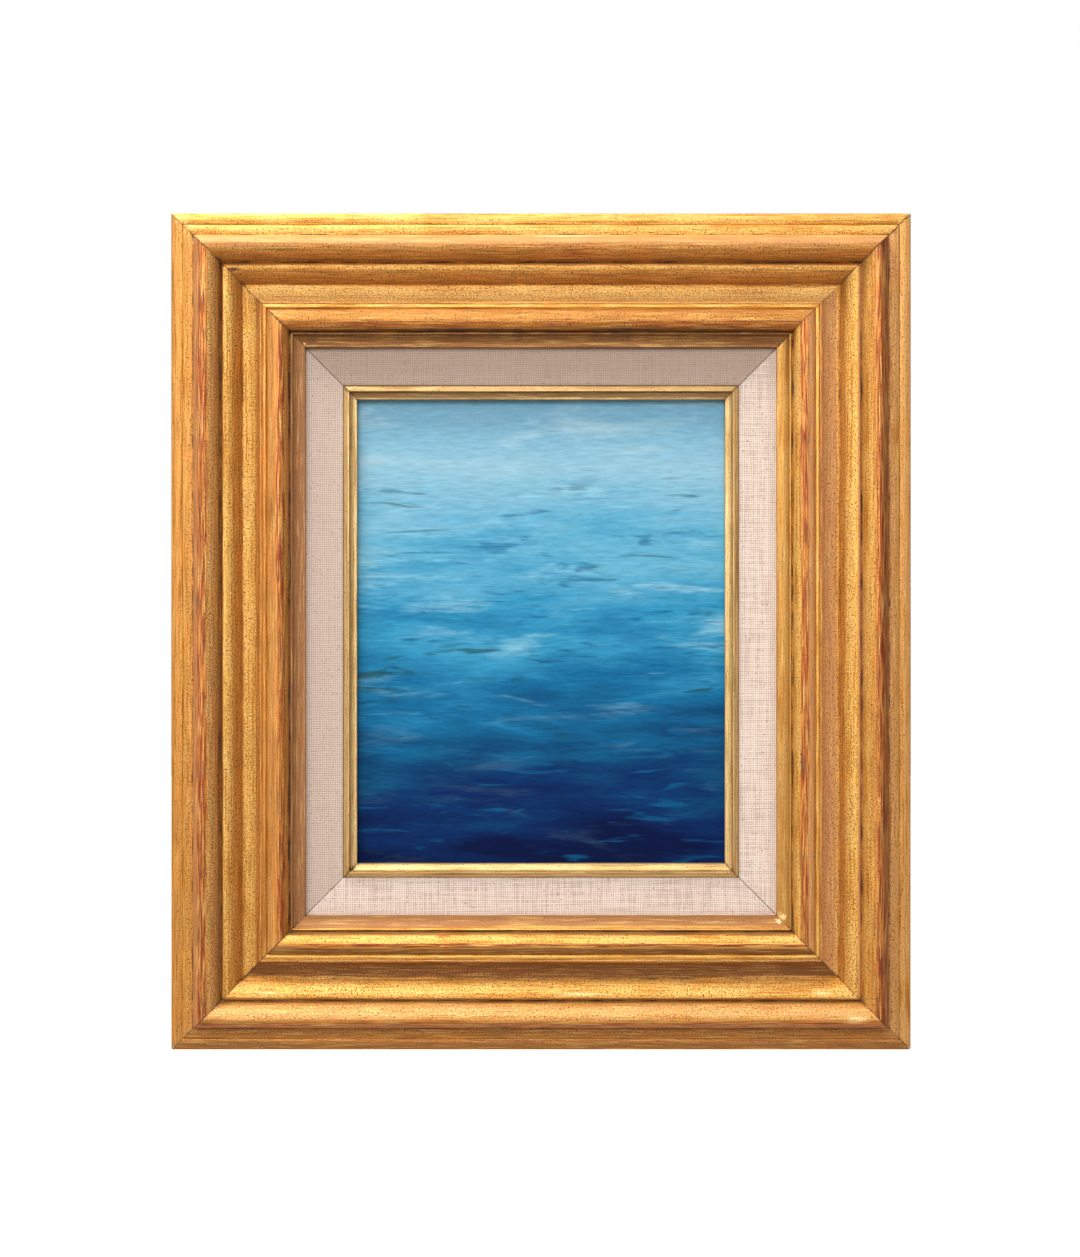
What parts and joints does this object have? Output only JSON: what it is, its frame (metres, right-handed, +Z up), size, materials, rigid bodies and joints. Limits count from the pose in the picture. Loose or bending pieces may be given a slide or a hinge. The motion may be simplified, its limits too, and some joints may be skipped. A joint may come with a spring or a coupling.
{
  "type": "framed painting",
  "caption": "Small oil painting on a stretched canvas, in a deep gilded moulding with a linen liner and a slim gilt fillet, made to hang on a wall.",
  "frame": {"origin": "on the flat back of the top frame rail, midway along it and midway across its back", "axes": "+Y out of the back, towards the wall; the picture faces -Y; +Z up the wall; +X to the right seen from the front"},
  "size_m": [0.4094, 0.046, 0.4629],
  "materials": {
    "gilded_wood": "imitation gold leaf over red bole, rubbed through and toned, satin",
    "linen": "natural plain-weave linen glued on wood, matt",
    "fillet_gilding": "pale gold paint, satin",
    "painted_canvas": "thin smooth oil paint with a satin varnish on fine canvas",
    "bare_pine": "planed pine, bare"
  },
  "bodies": {
    "root": {"frame_rail_top": "gilded_wood", "frame_rail_bottom": "gilded_wood", "frame_rail_left": "gilded_wood", "frame_rail_right": "gilded_wood", "liner_rail_top": "linen", "liner_rail_bottom": "linen", "liner_rail_left": "linen", "liner_rail_right": "linen", "fillet_top": "fillet_gilding", "fillet_bottom": "fillet_gilding", "fillet_left": "fillet_gilding", "fillet_right": "fillet_gilding", "canvas": "painted_canvas", "stretcher_bar_top": "bare_pine", "stretcher_bar_bottom": "bare_pine", "stretcher_bar_left": "bare_pine", "stretcher_bar_right": "bare_pine"}
  },
  "joints": []
}
